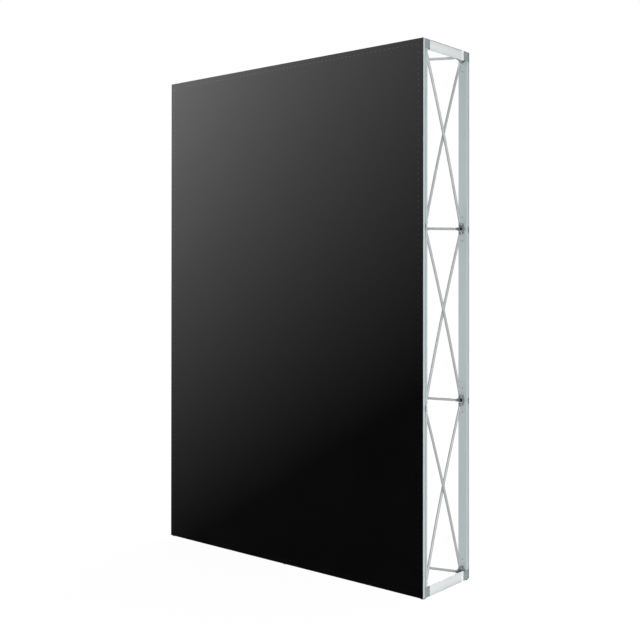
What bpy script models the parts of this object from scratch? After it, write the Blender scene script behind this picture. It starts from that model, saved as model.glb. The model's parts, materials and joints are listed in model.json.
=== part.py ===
"""Folding display wall: a stretched front cover on a channel frame, a scissor frame of hubs and crossed
tubes behind it, and a rear post at each end.

Metres, +Z up. X runs along the width and -Y is the covered front. The origin is on the ground under the
middle.
"""

import math

import bmesh
import bpy
from mathutils import Matrix, Vector

# Overall sizes
WIDTH = 1.484
HEIGHT = 2.220
DEPTH = 0.350

# Clearance between pieces that touch, and how far a cutter runs past what it cuts
GAP = 0.0003
OVERRUN = 0.004

# Front cover, a sheet of stretch fabric
COVER_THICKNESS = 0.0012

# Channel bars: width across the face, depth of the front frame and of the rear posts, and wall
BAR_WIDTH = 0.040
FRONT_BAR_DEPTH = 0.030
REAR_BAR_DEPTH = 0.022
BAR_WALL = 0.0024

# Groove in the front face for the cover's silicone edge
KEDER_INSET = 0.0022
KEDER_WIDTH = 0.0036
KEDER_DEPTH = 0.011

# Groove round the outside of the front frame, and down the outside of each rear post
SIDE_GROOVE_DEPTH = 0.007
FRONT_GROOVE_START = 0.013
FRONT_GROOVE_WIDTH = 0.009
REAR_GROOVE_LIP = 0.0015
REAR_GROOVE_WIDTH = 0.0105

# Hollow inside a bar, and the slot that opens it towards the middle of the wall
HOLLOW_INSET = 0.009
SLOT_WIDTH = 0.008

# Feet
FOOT_HEIGHT = 0.004
FOOT_RADIUS = 0.008
FOOT_END_INSET = 0.014
FRONT_FOOT_PLACE = 0.021
REAR_FOOT_PLACE = 0.009
FOOT_SIDES = 16

# Bars from the front frame to the rear posts, two at each end
END_BAR_THICKNESS = 0.007
END_BAR_WALL = 0.002

# Ears of the corner brackets, from the front frame and the rear posts, that meet the end bars
FRONT_EAR = 0.015
REAR_EAR = 0.022

# Hubs: places in the wall
HUB_SIDE_MARGIN = 0.020
HUB_LOW_MARGIN = 0.031
HUB_TOP_MARGIN = 0.023
CELLS_ACROSS = 2
CELLS_UP = 3
LADDER_HUB = ("rear", "middle", 1)

# Hubs: shape
HUB_SEAT = 0.018
ARM_REACH = 0.018
BOSS_RADIUS = 0.0115
BOSS_RISE = 0.0075
BOSS_SIDES = 12
BORE_RADIUS = 0.0070
BORE_DEPTH = 0.012
BORE_SIDES = 8
SEAT_THICKNESS = 0.006
SEAT_HALF_WIDTH = 0.007
SEAT_TOE = 0.0035
PRONG_THICKNESS = 0.0034
PRONG_RADIUS = 0.0055
PRONG_ROOT = 0.003
PIN_RADIUS = 0.0020
PIN_SIDES = 8

# Tubes
TUBE_RADIUS = 0.0055
TUBE_START = 0.0095
TUBE_CROSS_GAP = 0.0006
TONGUE_THICKNESS = 0.0034
TONGUE_RADIUS = 0.0044
TONGUE_TAIL = 0.016
RIVET_RADIUS = 0.0022
RIVET_PROUD = 0.001
RIVET_SIDES = 8

# Light ladder: upright strips between two rails that hang behind the rear middle hubs, and its driver
STRIP_COUNT = 5
STRIP_PITCH = 0.200
STRIP_WIDTH = 0.020
STRIP_THICKNESS = 0.004
RAIL_HEIGHT = 0.016
RAIL_THICKNESS = 0.009
RAIL_OVERHANG = 0.008
DRIVER_SIZE = (0.150, 0.014, 0.042)
DRIVER_PLACE = -0.100
INLET_SIZE = (0.012, 0.010, 0.010)

# Derived places
COVER_FRONT = -DEPTH / 2
FRONT_FRAME_FRONT = COVER_FRONT + COVER_THICKNESS + GAP
FRONT_FRAME_REAR = FRONT_FRAME_FRONT + FRONT_BAR_DEPTH
REAR_FRAME_REAR = DEPTH / 2
REAR_FRAME_FRONT = REAR_FRAME_REAR - REAR_BAR_DEPTH
FRAME_LOW = FOOT_HEIGHT
FRAME_TOP = FOOT_HEIGHT + HEIGHT
HUB_FRONT_Y = FRONT_FRAME_REAR + GAP + HUB_SEAT
HUB_REAR_Y = REAR_FRAME_FRONT - GAP - HUB_SEAT
CELL_WIDTH = (WIDTH - 2 * HUB_SIDE_MARGIN) / CELLS_ACROSS
CELL_HEIGHT = (HEIGHT - HUB_LOW_MARGIN - HUB_TOP_MARGIN) / CELLS_UP
TUBE_BOW = TUBE_RADIUS + TUBE_CROSS_GAP / 2

ROWS = range(1, CELLS_UP + 2)
COLUMNS = {"left": -1, "middle": 0, "right": 1}
ARM_ANGLES = {"+x": 0.0, "-z": math.pi / 2, "-x": math.pi, "+z": 3 * math.pi / 2}
ARM_WAYS = {
    "+x": Vector((1, 0, 0)),
    "-x": Vector((-1, 0, 0)),
    "+z": Vector((0, 0, 1)),
    "-z": Vector((0, 0, -1)),
}
OPPOSITE = {"+x": "-x", "-x": "+x", "+z": "+z", "-z": "-z"}

MATERIALS = {
    "bar_aluminium": ((0.62, 0.64, 0.63), 0.38, 0.9),
    "tube_aluminium": ((0.66, 0.67, 0.67), 0.32, 0.95),
    "hub_plastic": ((0.36, 0.38, 0.38), 0.5, 0.0),
    "end_bar_white": ((0.85, 0.86, 0.86), 0.45, 0.1),
    "cover_fabric": ((0.012, 0.012, 0.013), 0.85, 0.0),
    "light_white": ((0.88, 0.88, 0.86), 0.4, 0.0),
}


def clear_scene():
    for old in list(bpy.data.objects):
        bpy.data.objects.remove(old, do_unlink=True)


def new_collection(name):
    collection = bpy.data.collections.new(name)
    bpy.context.scene.collection.children.link(collection)
    return collection


def make_materials():
    for name, (colour, roughness, metallic) in MATERIALS.items():
        material = bpy.data.materials.new(name)
        material.use_nodes = True
        shader = material.node_tree.nodes["Principled BSDF"]
        shader.inputs["Base Color"].default_value = (*colour, 1)
        shader.inputs["Roughness"].default_value = roughness
        shader.inputs["Metallic"].default_value = metallic


def new_object(name, data, collection, material=None):
    made = bpy.data.objects.new(name, data)
    collection.objects.link(made)
    if material:
        if not data.materials:
            data.materials.append(bpy.data.materials[material])
    return made


def as_cutter(made):
    made.hide_render = True
    made.display_type = "WIRE"
    return made


def box_mesh(name, low, high):
    """A box between two corners."""
    shape = bmesh.new()
    bmesh.ops.create_cube(shape, size=1)
    size = Vector(high) - Vector(low)
    bmesh.ops.scale(shape, vec=size, verts=shape.verts)
    bmesh.ops.translate(shape, vec=Vector(low) + size / 2, verts=shape.verts)
    mesh = bpy.data.meshes.new(name)
    shape.to_mesh(mesh)
    shape.free()
    return mesh


def round_mesh(name, radius, start, end, along, sides):
    """A cylinder from start to end on an axis through the origin; along turns +Z to that axis."""
    shape = bmesh.new()
    bmesh.ops.create_cone(
        shape, cap_ends=True, segments=sides, radius1=radius, radius2=radius, depth=end - start
    )
    bmesh.ops.translate(shape, vec=(0, 0, (start + end) / 2), verts=shape.verts)
    bmesh.ops.transform(shape, matrix=along, verts=shape.verts)
    mesh = bpy.data.meshes.new(name)
    shape.to_mesh(mesh)
    shape.free()
    return mesh


def add_boolean(made, other, operation):
    step = made.modifiers.new(operation.lower(), "BOOLEAN")
    step.operation = operation
    step.solver = "EXACT"
    step.object = other


def baked_mesh(made, name):
    """The mesh that an object has after its modifiers."""
    bpy.context.view_layer.update()
    evaluated = made.evaluated_get(bpy.context.evaluated_depsgraph_get())
    mesh = bpy.data.meshes.new_from_object(evaluated)
    mesh.name = name
    return mesh


def fused(name, cutters, solids, holes=()):
    """One mesh from solids joined by Booleans and then cut by the holes; the helper objects are removed."""
    helpers = [new_object(mesh.name, mesh, cutters) for mesh in (*solids, *holes)]
    base = helpers[0]
    for other in helpers[1 : len(solids)]:
        add_boolean(base, other, "UNION")
    for other in helpers[len(solids) :]:
        add_boolean(base, other, "DIFFERENCE")
    mesh = baked_mesh(base, name)
    for helper in helpers:
        bpy.data.objects.remove(helper, do_unlink=True)
    return mesh


def curve_mesh(name, curve, cutters):
    """A curve as a closed mesh, its caps welded to its sides."""
    helper = new_object(name, curve, cutters)
    mesh = baked_mesh(helper, name)
    bpy.data.objects.remove(helper, do_unlink=True)
    shape = bmesh.new()
    shape.from_mesh(mesh)
    bmesh.ops.remove_doubles(shape, verts=shape.verts, dist=GAP / 10)
    shape.to_mesh(mesh)
    shape.free()
    return mesh


def plate_mesh(name, outline, thickness, cutters):
    """A flat plate with this outline in the XY plane, its thickness about Z = 0."""
    curve = bpy.data.curves.new(name, "CURVE")
    curve.dimensions = "2D"
    curve.fill_mode = "BOTH"
    curve.extrude = thickness / 2
    spline = curve.splines.new("POLY")
    spline.points.add(len(outline) - 1)
    for point, (x, y) in zip(spline.points, outline):
        point.co = (x, y, 0, 1)
    spline.use_cyclic_u = True
    return curve_mesh(name, curve, cutters)


def moved(mesh, matrix):
    mesh.transform(matrix)
    return mesh


# Channel frames


def frame_box(name, inset, front, rear):
    """A box as wide and high as a channel frame, less an inset on all four sides."""
    low = (-WIDTH / 2 + inset, front, FRAME_LOW + inset)
    high = (WIDTH / 2 - inset, rear, FRAME_TOP - inset)
    return box_mesh(name, low, high)


def ring_cutter(name, outer_inset, inner_inset, front, rear, cutters):
    """A cutter that runs round the frame between two insets."""
    ring = as_cutter(new_object(name, frame_box(name, outer_inset, front, rear), cutters))
    inner = frame_box(name + "_core", inner_inset, front - OVERRUN, rear + OVERRUN)
    core = as_cutter(new_object(name + "_core", inner, cutters))
    add_boolean(ring, core, "DIFFERENCE")
    return ring


def add_feet(frame, spots, middle, cutters):
    """Feet at the wall's ends (spots -1 and 1) or its middle (0), their centres on the plane Y = middle."""
    for spot in spots:
        x = spot * (WIDTH / 2 - FOOT_END_INSET)
        name = f"{frame.name}_foot_{spot + 2}"
        place = Matrix.Translation((x, middle, 0))
        top = FRAME_LOW + BAR_WALL
        foot = new_object(name, round_mesh(name, FOOT_RADIUS, 0, top, place, FOOT_SIDES), cutters)
        add_boolean(frame, as_cutter(foot), "UNION")


def add_ears(frame, sides, face, reach, cutters):
    """The corner brackets' ears: each goes on from a bar's inner face, in line with an end bar."""
    root = face - math.copysign(BAR_WALL / 2, reach)
    end = face + reach
    for side in sides:
        outer = side * WIDTH / 2
        inner = outer - side * END_BAR_THICKNESS
        for level, low in (("bottom", FRAME_LOW), ("top", FRAME_TOP - BAR_WIDTH)):
            name = f"{frame.name}_ear_{side + 2}_{level}"
            start = (min(inner, outer), min(root, end), low)
            stop = (max(inner, outer), max(root, end), low + BAR_WIDTH)
            ear = new_object(name, box_mesh(name, start, stop), cutters)
            add_boolean(frame, as_cutter(ear), "UNION")


def front_channel_frame(parts, cutters):
    """Four channel bars joined at their corners, open in the middle, with a groove for the cover's edge."""
    name = "front_channel_frame"
    front, rear = FRONT_FRAME_FRONT, FRONT_FRAME_REAR
    groove = front + FRONT_GROOVE_START
    frame = new_object(name, frame_box(name, 0, front, rear), parts, "bar_aluminium")
    opening = frame_box(name + "_opening", BAR_WIDTH, front - OVERRUN, rear + OVERRUN)
    add_boolean(frame, as_cutter(new_object(opening.name, opening, cutters)), "DIFFERENCE")
    hollow_inner = BAR_WIDTH - BAR_WALL
    slot_middle = (front + rear) / 2
    rings = [
        ("hollow", HOLLOW_INSET, hollow_inner, front + BAR_WALL, rear - BAR_WALL),
        (
            "slot",
            hollow_inner - BAR_WALL,
            BAR_WIDTH + OVERRUN,
            slot_middle - SLOT_WIDTH / 2,
            slot_middle + SLOT_WIDTH / 2,
        ),
        ("keder", KEDER_INSET, KEDER_INSET + KEDER_WIDTH, front - OVERRUN, front + KEDER_DEPTH),
        ("side_groove", -OVERRUN, SIDE_GROOVE_DEPTH, groove, groove + FRONT_GROOVE_WIDTH),
    ]
    for part, outer, inner, start, end in rings:
        add_boolean(frame, ring_cutter(f"{name}_{part}", outer, inner, start, end, cutters), "DIFFERENCE")
    add_ears(frame, (-1, 1), rear, FRONT_EAR, cutters)
    add_feet(frame, (-1, 0, 1), front + FRONT_FOOT_PLACE, cutters)
    return frame


# Rear posts


def post_box(name, side, near, far, front, rear, end_inset):
    """A box along a post, from near to far across it from its outer face, its ends inset."""
    xs = sorted((side * (WIDTH / 2 - near), side * (WIDTH / 2 - far)))
    return box_mesh(name, (xs[0], front, FRAME_LOW + end_inset), (xs[1], rear, FRAME_TOP - end_inset))


def rear_post(name, side, parts, cutters):
    """An upright channel bar behind the end hubs, closed at both ends, with its two ears and its foot."""
    front, rear = REAR_FRAME_FRONT, REAR_FRAME_REAR
    post = new_object(name, post_box(name, side, 0, BAR_WIDTH, front, rear, 0), parts, "bar_aluminium")
    hollow_inner = BAR_WIDTH - BAR_WALL
    slot_middle = (front + rear) / 2
    slot_half = SLOT_WIDTH / 2
    groove_end = rear - REAR_GROOVE_LIP
    groove_start = groove_end - REAR_GROOVE_WIDTH
    cuts = [
        ("hollow", HOLLOW_INSET, hollow_inner, front + BAR_WALL, rear - BAR_WALL, HOLLOW_INSET),
        (
            "slot",
            hollow_inner - BAR_WALL,
            BAR_WIDTH + OVERRUN,
            slot_middle - slot_half,
            slot_middle + slot_half,
            BAR_WIDTH,
        ),
        ("side_groove", -OVERRUN, SIDE_GROOVE_DEPTH, groove_start, groove_end, -OVERRUN),
    ]
    for part, near, far, start, end, end_inset in cuts:
        cut = post_box(f"{name}_{part}", side, near, far, start, end, end_inset)
        add_boolean(post, as_cutter(new_object(cut.name, cut, cutters)), "DIFFERENCE")
    add_ears(post, (side,), front, -REAR_EAR, cutters)
    add_feet(post, (side,), front + REAR_FOOT_PLACE, cutters)
    return post


# End bars and cover


def end_bar(name, side, low, parts, cutters):
    """A flat channel between the front and rear ears at one end, open towards the middle of the wall."""
    start = FRONT_FRAME_REAR + FRONT_EAR + GAP
    end = REAR_FRAME_FRONT - REAR_EAR - GAP
    outer = side * WIDTH / 2
    inner = side * (WIDTH / 2 - END_BAR_THICKNESS)
    high = low + BAR_WIDTH
    block = box_mesh(name, (min(inner, outer), start, low), (max(inner, outer), end, high))
    bar = new_object(name, block, parts, "end_bar_white")
    floor = outer - side * END_BAR_WALL
    mouth = inner - side * OVERRUN
    channel = box_mesh(
        name + "_channel",
        (min(floor, mouth), start - OVERRUN, low + END_BAR_WALL),
        (max(floor, mouth), end + OVERRUN, high - END_BAR_WALL),
    )
    add_boolean(bar, as_cutter(new_object(channel.name, channel, cutters)), "DIFFERENCE")
    return bar


def end_bars(parts, cutters):
    bars = []
    for side_name, side in (("left", -1), ("right", 1)):
        for level, low in (("bottom", FRAME_LOW), ("top", FRAME_TOP - BAR_WIDTH)):
            bars.append(end_bar(f"end_bar_{side_name}_{level}", side, low, parts, cutters))
    return bars


def fabric_cover(parts):
    mesh = frame_box("fabric_cover", 0, COVER_FRONT, COVER_FRONT + COVER_THICKNESS)
    return new_object("fabric_cover", mesh, parts, "cover_fabric")


# Light ladder


def light_ladder(parts, cutters):
    """Upright light strips between two rails behind the rear middle hubs, with the driver on the lower rail."""
    rail_front = REAR_FRAME_FRONT
    rear = rail_front + RAIL_THICKNESS
    low = hub_place("rear", "middle", ROWS[0]).z - RAIL_HEIGHT / 2
    high = hub_place("rear", "middle", ROWS[-1]).z + RAIL_HEIGHT / 2
    half_span = STRIP_PITCH * (STRIP_COUNT - 1) / 2
    half_rail = half_span + STRIP_WIDTH / 2 + RAIL_OVERHANG
    strip_rear = rear - (RAIL_THICKNESS - STRIP_THICKNESS) / 2
    solids = [
        box_mesh("rail_low", (-half_rail, rail_front, low), (half_rail, rear, low + RAIL_HEIGHT)),
        box_mesh("rail_high", (-half_rail, rail_front, high - RAIL_HEIGHT), (half_rail, rear, high)),
    ]
    for number in range(STRIP_COUNT):
        middle = number * STRIP_PITCH - half_span
        start = (middle - STRIP_WIDTH / 2, strip_rear - STRIP_THICKNESS, low + RAIL_HEIGHT / 2)
        end = (middle + STRIP_WIDTH / 2, strip_rear, high - RAIL_HEIGHT / 2)
        solids.append(box_mesh(f"strip_{number + 1}", start, end))
    driver_low = low + RAIL_HEIGHT / 2
    driver_rear = rail_front + BAR_WALL / 2 + DRIVER_SIZE[1]
    width, thickness, height = DRIVER_SIZE
    driver_start = (DRIVER_PLACE - width / 2, driver_rear - thickness, driver_low)
    driver_end = (DRIVER_PLACE + width / 2, driver_rear, driver_low + height)
    solids.append(box_mesh("driver", driver_start, driver_end))
    inlet_width, inlet_thickness, inlet_height = INLET_SIZE
    inlet_low = Vector((DRIVER_PLACE - width / 2 - inlet_width, driver_rear - thickness / 2, 0))
    inlet_low += Vector((0, -inlet_thickness / 2, driver_low + height / 2 - inlet_height / 2))
    inlet_high = inlet_low + Vector((2 * inlet_width, inlet_thickness, inlet_height))
    solids.append(box_mesh("inlet", inlet_low, inlet_high))
    return new_object("light_ladder", fused("light_ladder", cutters, solids), parts, "light_white")


# Hubs


def hub_place(side, column, row):
    y = HUB_FRONT_Y if side == "front" else HUB_REAR_Y
    return Vector((COLUMNS[column] * CELL_WIDTH, y, FRAME_LOW + HUB_LOW_MARGIN + (row - 1) * CELL_HEIGHT))


def arm_pivot(side, column, row, way):
    return hub_place(side, column, row) + ARM_REACH * ARM_WAYS[way]


def hub_ways(column, row):
    """The ways in which a hub has arms: towards each neighbour that a tube reaches."""
    ways = []
    if column != "right":
        ways.append("+x")
    if column != "left":
        ways.append("-x")
    if column != "middle":
        if row > ROWS[0]:
            ways.append("-z")
        if row < ROWS[-1]:
            ways.append("+z")
    return ways


def prong_outline():
    """A prong from inside the boss out past its pin, in the plane of the arm and the hub's axis."""
    low = -HUB_SEAT + SEAT_THICKNESS / 2
    nose = [
        (ARM_REACH + PRONG_RADIUS * math.cos(angle), PRONG_RADIUS * math.sin(angle))
        for angle in (math.radians(turn) for turn in (-30, 10, 50, 90))
    ]
    return [(PRONG_ROOT, low), (ARM_REACH + SEAT_TOE / 2, low), *nose, (PRONG_ROOT, PRONG_RADIUS)]


def arm_meshes(angle, cutters):
    """Seat, two prongs and pin of one arm, turned about the hub's axis."""
    turn = Matrix.Rotation(angle, 4, "Y")
    seat_end = ARM_REACH + SEAT_TOE
    seat = box_mesh(
        "seat",
        (0, -HUB_SEAT, -SEAT_HALF_WIDTH),
        (seat_end, -HUB_SEAT + SEAT_THICKNESS, SEAT_HALF_WIDTH),
    )
    prong_middle = TONGUE_THICKNESS / 2 + GAP + PRONG_THICKNESS / 2
    prongs = [
        moved(
            plate_mesh("prong", prong_outline(), PRONG_THICKNESS, cutters),
            Matrix.Translation((0, 0, side * prong_middle)),
        )
        for side in (-1, 1)
    ]
    place = Matrix.Translation((ARM_REACH, 0, 0))
    pin = round_mesh("pin", PIN_RADIUS, -prong_middle, prong_middle, place, PIN_SIDES)
    return [moved(mesh, turn) for mesh in (seat, *prongs, pin)]


def hub_mesh(ways, cutters):
    """A hub about its own centre: seat face towards -Y, arms in the XZ plane, tubes leaving towards +Y."""
    upright = Matrix.Rotation(-math.pi / 2, 4, "X")
    boss = round_mesh("boss", BOSS_RADIUS, -HUB_SEAT - GAP / 2, BOSS_RISE, upright, BOSS_SIDES)
    boss.transform(Matrix.Translation((0, GAP / 2, 0)))
    bore = round_mesh("bore", BORE_RADIUS, BOSS_RISE - BORE_DEPTH, BOSS_RISE + OVERRUN, upright, BORE_SIDES)
    arms = [mesh for way in ways for mesh in arm_meshes(ARM_ANGLES[way], cutters)]
    return fused("hub_" + "_".join(ways), cutters, [boss, *arms], [bore])


def join_to_ladder(ladder, hub, cutters):
    """Joins a rear hub to the ladder through a pad between its seat and the lower rail."""
    place = hub.location
    seat = place.y + HUB_SEAT - SEAT_THICKNESS / 2
    low = (place.x - SEAT_HALF_WIDTH, seat, place.z - SEAT_HALF_WIDTH)
    high = (place.x + SEAT_HALF_WIDTH, REAR_FRAME_FRONT + RAIL_THICKNESS / 2, place.z + SEAT_HALF_WIDTH)
    pad = new_object("hub_pad", box_mesh("hub_pad", low, high), cutters)
    add_boolean(ladder, as_cutter(pad), "UNION")
    add_boolean(ladder, as_cutter(hub), "UNION")
    return ladder


def make_hubs(ladder, parts, cutters):
    """All hubs. The lowest middle one at the rear is one piece with the ladder that hangs on it."""
    meshes = {}
    hubs = {}
    for side in ("front", "rear"):
        for column in COLUMNS:
            for row in ROWS:
                ways = hub_ways(column, row)
                if side == "rear":
                    ways = [OPPOSITE[way] for way in ways]
                key = tuple(sorted(ways))
                if key not in meshes:
                    meshes[key] = hub_mesh(key, cutters)
                holds_ladder = (side, column, row) == LADDER_HUB
                holder = cutters if holds_ladder else parts
                hub = new_object(f"hub_{side}_{column}_{row}", meshes[key], holder, "hub_plastic")
                hub.location = hub_place(side, column, row)
                hub.rotation_euler.z = math.pi if side == "rear" else 0
                hubs[side, column, row] = join_to_ladder(ladder, hub, cutters) if holds_ladder else hub
    return hubs


# Tubes


def tongue_outline(length, far):
    """The flattened end of a tube round its pin hole, at the near or the far end."""
    nose = [
        (-TONGUE_RADIUS * math.sin(angle), TONGUE_RADIUS * math.cos(angle))
        for angle in (math.radians(turn) for turn in (0, 45, 90, 135, 180))
    ]
    outline = [(TONGUE_TAIL, TONGUE_RADIUS), *nose, (TONGUE_TAIL, -TONGUE_RADIUS)]
    if far:
        return [(length - x, y) for x, y in outline]
    return outline


def tube_mesh(name, length, bow, riveted, cutters):
    """A tube along +X between two pin holes, bowed along Z where it passes its partner.

    The riveted tube carries the rivet that the other one turns on.
    """
    curve = bpy.data.curves.new(name, "CURVE")
    curve.dimensions = "3D"
    curve.bevel_depth = TUBE_RADIUS
    curve.bevel_resolution = 2
    curve.use_fill_caps = True
    spline = curve.splines.new("POLY")
    route = [(TUBE_START, 0), (length / 2, bow), (length - TUBE_START, 0)]
    spline.points.add(len(route) - 1)
    for point, (x, z) in zip(spline.points, route):
        point.co = (x, 0, z, 1)
    solids = [curve_mesh(name, curve, cutters)]
    holes = []
    for far, x in ((False, 0), (True, length)):
        solids.append(plate_mesh("tongue", tongue_outline(length, far), TONGUE_THICKNESS, cutters))
        place = Matrix.Translation((x, 0, 0))
        half = TONGUE_THICKNESS / 2 + OVERRUN
        holes.append(round_mesh("pin_hole", PIN_RADIUS + GAP, -half, half, place, PIN_SIDES))
    centre = Matrix.Translation((length / 2, 0, 0))
    far_side = TUBE_BOW + TUBE_RADIUS
    if riveted:
        rivet_end = -far_side - RIVET_PROUD
        solids.append(round_mesh("rivet", RIVET_RADIUS, rivet_end, TUBE_BOW, centre, RIVET_SIDES))
    else:
        hole_end = -far_side - OVERRUN
        holes.append(round_mesh("rivet_hole", RIVET_RADIUS + GAP, hole_end, OVERRUN, centre, RIVET_SIDES))
    return fused(name, cutters, solids, holes)


def tube_pair_meshes(run, cutters):
    """The two tube meshes of a crossed pair whose pin holes are run apart along the wall."""
    length = math.hypot(run, HUB_REAR_Y - HUB_FRONT_Y)
    name = f"tube_{round(length / GAP)}"
    first = tube_mesh(name + "_a", length, TUBE_BOW, True, cutters)
    second = tube_mesh(name + "_b", length, -TUBE_BOW, False, cutters)
    return first, second


def tube_between(name, mesh, start, end, bow_way, parts):
    along = (end - start).normalized()
    across = bow_way.cross(along)
    tube = new_object(name, mesh, parts, "tube_aluminium")
    turn = Matrix((along, across, bow_way)).transposed().to_4x4()
    tube.matrix_world = Matrix.Translation(start) @ turn
    return tube


def make_tubes(parts, cutters):
    """All crossed pairs: tube a runs from front to rear hubs and carries the rivet, tube b the other way."""
    tubes = {}
    wide = tube_pair_meshes(CELL_WIDTH - 2 * ARM_REACH, cutters)
    tall = tube_pair_meshes(CELL_HEIGHT - 2 * ARM_REACH, cutters)
    up = Vector((0, 0, 1))
    for row in ROWS:
        for column, out in (("right", "+x"), ("left", "-x")):
            back = OPPOSITE[out]
            for kind, mesh, near, far in (("a", wide[0], "front", "rear"), ("b", wide[1], "rear", "front")):
                start = arm_pivot(near, "middle", row, out)
                end = arm_pivot(far, column, row, back)
                name = f"tube_row_{row}_{column}_{kind}"
                tubes["row", row, column, kind] = tube_between(name, mesh, start, end, up, parts)
    for row in ROWS[:-1]:
        for column in ("right", "left"):
            for kind, mesh, near, far in (("a", tall[0], "front", "rear"), ("b", tall[1], "rear", "front")):
                start = arm_pivot(near, column, row, "+z")
                end = arm_pivot(far, column, row + 1, "-z")
                name = f"tube_column_{column}_{row}_{kind}"
                tubes["column", row, column, kind] = tube_between(name, mesh, start, end, ARM_WAYS["-x"], parts)
    return tubes


# Hinges


def hinge(parent, child, place, axis, turns, parts):
    """An empty on the hinge's axis carries the child. Its angle is turns times the angle of the first hinge."""
    pivot = bpy.data.objects.new("pivot_" + child.name, None)
    parts.objects.link(pivot)
    pivot.empty_display_size = ARM_REACH
    pivot.location = place
    pivot["axis"] = axis
    pivot["turns"] = turns
    for held, holder in ((pivot, parent), (child, pivot)):
        bpy.context.view_layer.update()
        held.parent = holder
        held.matrix_parent_inverse = holder.matrix_world.inverted()


def crossing(tube):
    """The middle of a tube's run from pin to pin."""
    points = [Vector(corner) for corner in tube.bound_box]
    middle = (min(point.x for point in points) + max(point.x for point in points)) / 2
    return tube.matrix_world @ Vector((middle, 0, 0))


def link_first_row(hubs, tubes, parts):
    """The lowest row hangs on the front middle hub, which holds the front frame."""
    row = ROWS[0]
    for column, out, turn in (("right", "+x", 1), ("left", "-x", -1)):
        back = OPPOSITE[out]
        a = tubes["row", row, column, "a"]
        b = tubes["row", row, column, "b"]
        start = arm_pivot("front", "middle", row, out)
        hinge(hubs["front", "middle", row], a, start, (0, 0, turn), 1, parts)
        hinge(a, b, crossing(a), (0, 0, -turn), 2, parts)
        rear_end = arm_pivot("rear", column, row, back)
        front_end = arm_pivot("front", column, row, back)
        hinge(a, hubs["rear", column, row], rear_end, (0, 0, -turn), 1, parts)
        hinge(b, hubs["front", column, row], front_end, (0, 0, turn), 1, parts)
        if column == "right":
            rear_middle = arm_pivot("rear", "middle", row, out)
            hinge(b, hubs["rear", "middle", row], rear_middle, (0, 0, turn), 1, parts)


def link_columns(hubs, tubes, parts):
    """Each end column climbs from its lowest front hub."""
    for column in ("right", "left"):
        for row in ROWS[:-1]:
            a = tubes["column", row, column, "a"]
            b = tubes["column", row, column, "b"]
            start = arm_pivot("front", column, row, "+z")
            hinge(hubs["front", column, row], a, start, (-1, 0, 0), 1, parts)
            hinge(a, b, crossing(a), (1, 0, 0), 2, parts)
            rear_end = arm_pivot("rear", column, row + 1, "-z")
            front_end = arm_pivot("front", column, row + 1, "-z")
            hinge(a, hubs["rear", column, row + 1], rear_end, (1, 0, 0), 1, parts)
            hinge(b, hubs["front", column, row + 1], front_end, (-1, 0, 0), 1, parts)


def link_upper_rows(hubs, tubes, parts):
    """The rows above hang on the front hubs of both ends and reach in to the middle."""
    for row in ROWS[1:]:
        for column, out, turn in (("right", "+x", 1), ("left", "-x", -1)):
            a = tubes["row", row, column, "a"]
            b = tubes["row", row, column, "b"]
            start = arm_pivot("front", column, row, OPPOSITE[out])
            hinge(hubs["front", column, row], b, start, (0, 0, -turn), 1, parts)
            hinge(b, a, crossing(b), (0, 0, turn), 2, parts)
            if column == "right":
                front_middle = arm_pivot("front", "middle", row, out)
                rear_middle = arm_pivot("rear", "middle", row, out)
                hinge(a, hubs["front", "middle", row], front_middle, (0, 0, -turn), 1, parts)
                hinge(b, hubs["rear", "middle", row], rear_middle, (0, 0, turn), 1, parts)


def carry(holder, pieces):
    """Pieces fixed to a hub move with it."""
    bpy.context.view_layer.update()
    for piece in pieces:
        piece.parent = holder
        piece.matrix_parent_inverse = holder.matrix_world.inverted()


def main():
    clear_scene()
    make_materials()
    parts = new_collection("display_wall")
    cutters = new_collection("cutters")
    front = front_channel_frame(parts, cutters)
    posts = [rear_post("rear_post_left", -1, parts, cutters), rear_post("rear_post_right", 1, parts, cutters)]
    bars = end_bars(parts, cutters)
    cover = fabric_cover(parts)
    ladder = light_ladder(parts, cutters)
    hubs = make_hubs(ladder, parts, cutters)
    tubes = make_tubes(parts, cutters)
    carry(hubs["front", "middle", ROWS[0]], [front, cover, *bars])
    carry(hubs[LADDER_HUB], posts)
    link_first_row(hubs, tubes, parts)
    link_columns(hubs, tubes, parts)
    link_upper_rows(hubs, tubes, parts)


main()
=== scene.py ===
"""The looks of the lightbox display wall: detailed bars, brackets, hubs, tubes, cover and light ladder.

Metres, +Z up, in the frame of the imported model. -Y is the covered front.
"""

import json
import math
from types import SimpleNamespace

import bmesh
import bpy
from mathutils import Matrix, Vector

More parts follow.
